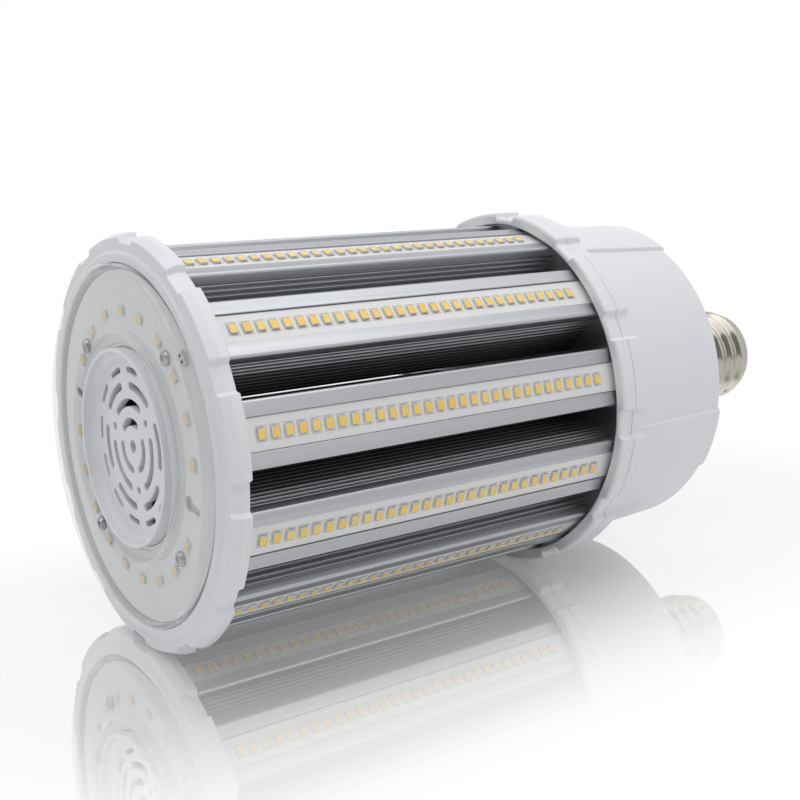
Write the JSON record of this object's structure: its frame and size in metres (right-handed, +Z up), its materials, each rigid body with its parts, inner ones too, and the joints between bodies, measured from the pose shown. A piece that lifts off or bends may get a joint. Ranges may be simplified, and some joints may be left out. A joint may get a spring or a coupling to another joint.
{
  "type": "corn led bulb",
  "caption": "Large corn-style LED lamp with finned aluminium LED bars around a hollow core, a lensed front with a vent grille, a white driver housing and an E40 screw cap.",
  "frame": {"origin": "under the middle of the lamp, on the surface that it lies on", "axes": "+X along the lamp's axis towards the screw cap, the lens looks along -X, +Z up"},
  "size_m": [0.2938, 0.1356, 0.1356],
  "materials": {
    "white_plastic": "satin",
    "clear_plastic": "clear",
    "board_white": "satin",
    "diode_amber": "satin",
    "light_aluminium": "satin",
    "bright_steel": "bright",
    "nickel_plate": "bright",
    "contact_brass": "satin",
    "dark_plastic": "matte",
    "board_green": "satin",
    "dark_ferrite": "matte",
    "capacitor_sleeve": "gloss",
    "copper_winding": "satin",
    "lead_red": "satin",
    "lead_blue": "satin"
  },
  "bodies": {
    "root": {"board_connector": "dark_plastic", "cap_insulator": "dark_plastic", "cap_shell": "nickel_plate", "centre_contact": "contact_brass", "driver_board": "board_green", "driver_bridge": "dark_plastic", "driver_capacitors": "capacitor_sleeve", "driver_choke": "copper_winding", "driver_housing": "white_plastic", "driver_transformer": "dark_ferrite", "front_board": "board_white", "front_leds": "diode_amber", "front_lens": "clear_plastic", "front_plate": "light_aluminium", "front_ring": "white_plastic", "front_screws": "bright_steel", "heat_sink_bar_01": "light_aluminium", "heat_sink_bar_02": "light_aluminium", "heat_sink_bar_03": "light_aluminium", "heat_sink_bar_04": "light_aluminium", "heat_sink_bar_05": "light_aluminium", "heat_sink_bar_06": "light_aluminium", "heat_sink_bar_07": "light_aluminium", "heat_sink_bar_08": "light_aluminium", "heat_sink_bar_09": "light_aluminium", "heat_sink_bar_10": "light_aluminium", "heat_sink_bar_11": "light_aluminium", "heat_sink_bar_12": "light_aluminium", "led_board_01": "board_white", "led_board_02": "board_white", "led_board_03": "board_white", "led_board_04": "board_white", "led_board_05": "board_white", "led_board_06": "board_white", "led_board_07": "board_white", "led_board_08": "board_white", "led_board_09": "board_white", "led_board_10": "board_white", "led_board_11": "board_white", "led_board_12": "board_white", "leds_01": "diode_amber", "leds_02": "diode_amber", "leds_03": "diode_amber", "leds_04": "diode_amber", "leds_05": "diode_amber", "leds_06": "diode_amber", "leds_07": "diode_amber", "leds_08": "diode_amber", "leds_09": "diode_amber", "leds_10": "diode_amber", "leds_11": "diode_amber", "leds_12": "diode_amber", "live_lead": "lead_red", "neutral_lead": "lead_blue", "rear_collar": "white_plastic", "rear_plate": "light_aluminium", "vent_grille": "white_plastic"}
  },
  "joints": []
}
